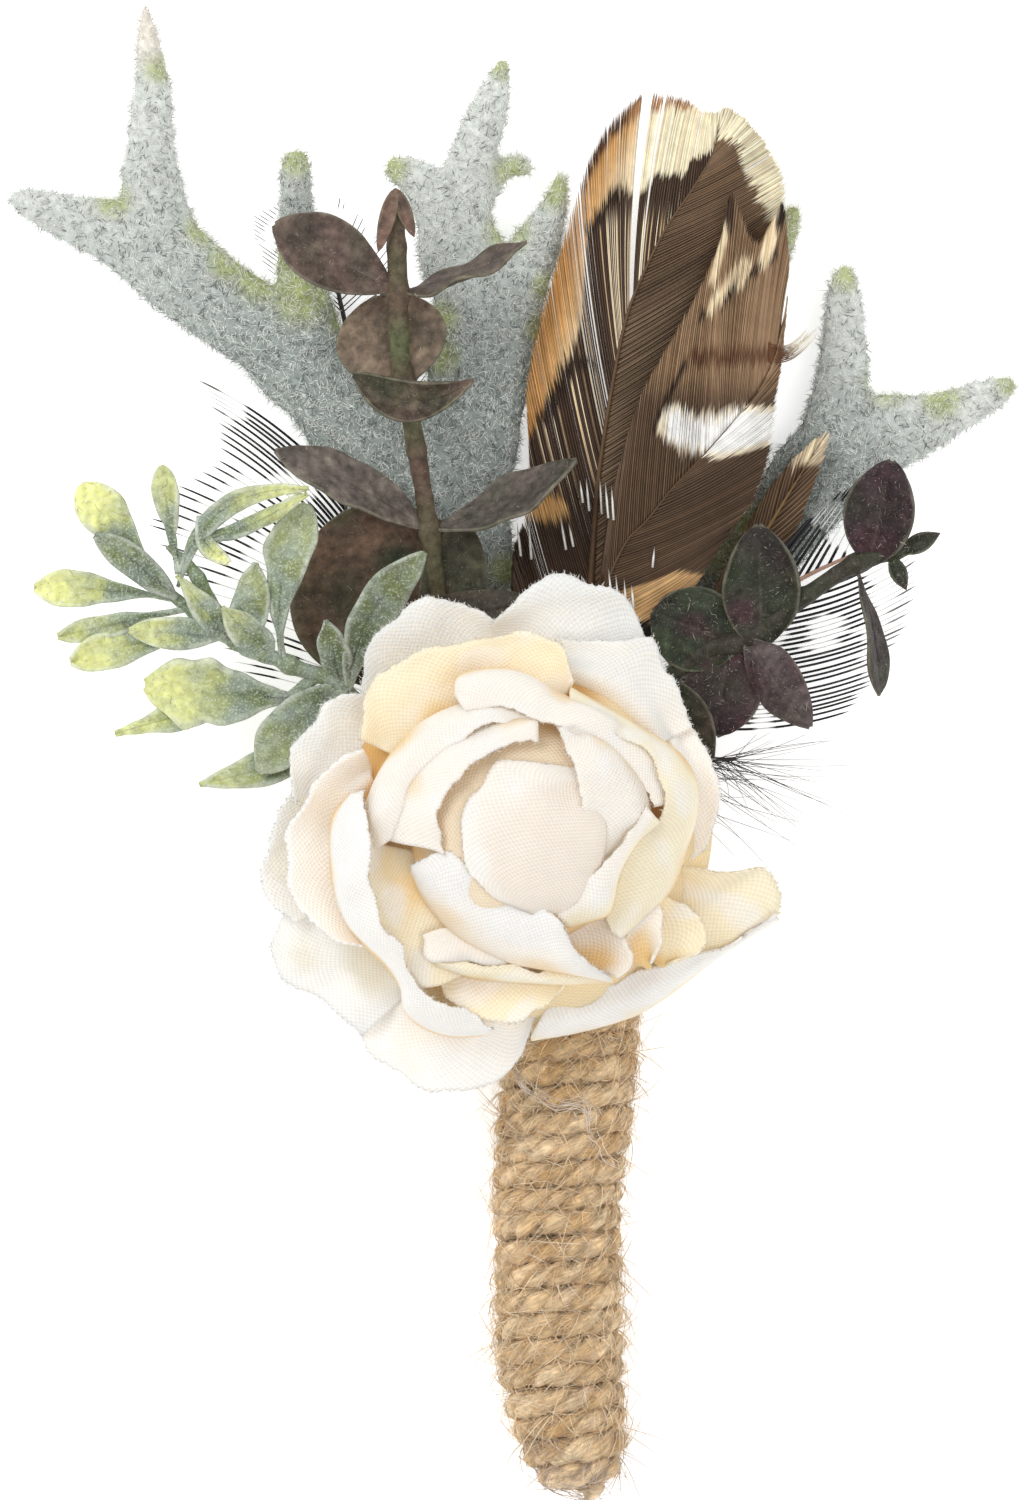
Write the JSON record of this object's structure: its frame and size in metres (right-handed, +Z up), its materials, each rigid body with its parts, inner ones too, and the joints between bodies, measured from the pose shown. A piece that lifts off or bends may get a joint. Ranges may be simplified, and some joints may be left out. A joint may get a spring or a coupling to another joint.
{
  "type": "boutonniere",
  "caption": "Rustic lapel spray lying on its back: a cream fabric bloom over antler-fern leaves, sprigs and feathers, with a twine-wound stem handle.",
  "frame": {"origin": "middle of the part's box, on the surface it lies on", "axes": "+Y along the stem bundle from the twine-wound end towards the leaf tips, +Z up out of the bloom, +X to the right as the bloom faces the viewer"},
  "size_m": [0.0966, 0.1421, 0.036],
  "materials": {
    "petal_fabric": "cream woven cloth, matt, with frayed edges",
    "floral_tape": "green stretched floral tape and soft plastic",
    "flocking": "soft plastic flocked with short grey-blue fibres",
    "purple_leaf": "printed cloth leaf, dark plum with a paler rim",
    "green_leaf": "soft plastic, frosted green with lime tips",
    "brown_plumage": "natural feather, banded brown, orange and cream",
    "barred_plumage": "natural feather, black and white open barbs",
    "jute": "raw jute twine, fuzzy"
  },
  "bodies": {
    "root": {"bloom_petals": "petal_fabric", "bloom_calyx": "floral_tape", "antler_leaf_left": "flocking", "antler_leaf_centre": "flocking", "antler_leaf_right": "flocking", "eucalyptus_top": "purple_leaf", "eucalyptus_right": "purple_leaf", "leafy_spray": "green_leaf", "pheasant_feather_left": "brown_plumage", "pheasant_feather_right": "brown_plumage", "pheasant_feather_small": "brown_plumage", "barred_feather_left": "barred_plumage", "barred_feather_top": "barred_plumage", "barred_feather_right": "barred_plumage", "down_tuft": "barred_plumage", "taped_core": "floral_tape", "jute_twine": "jute"}
  },
  "joints": []
}
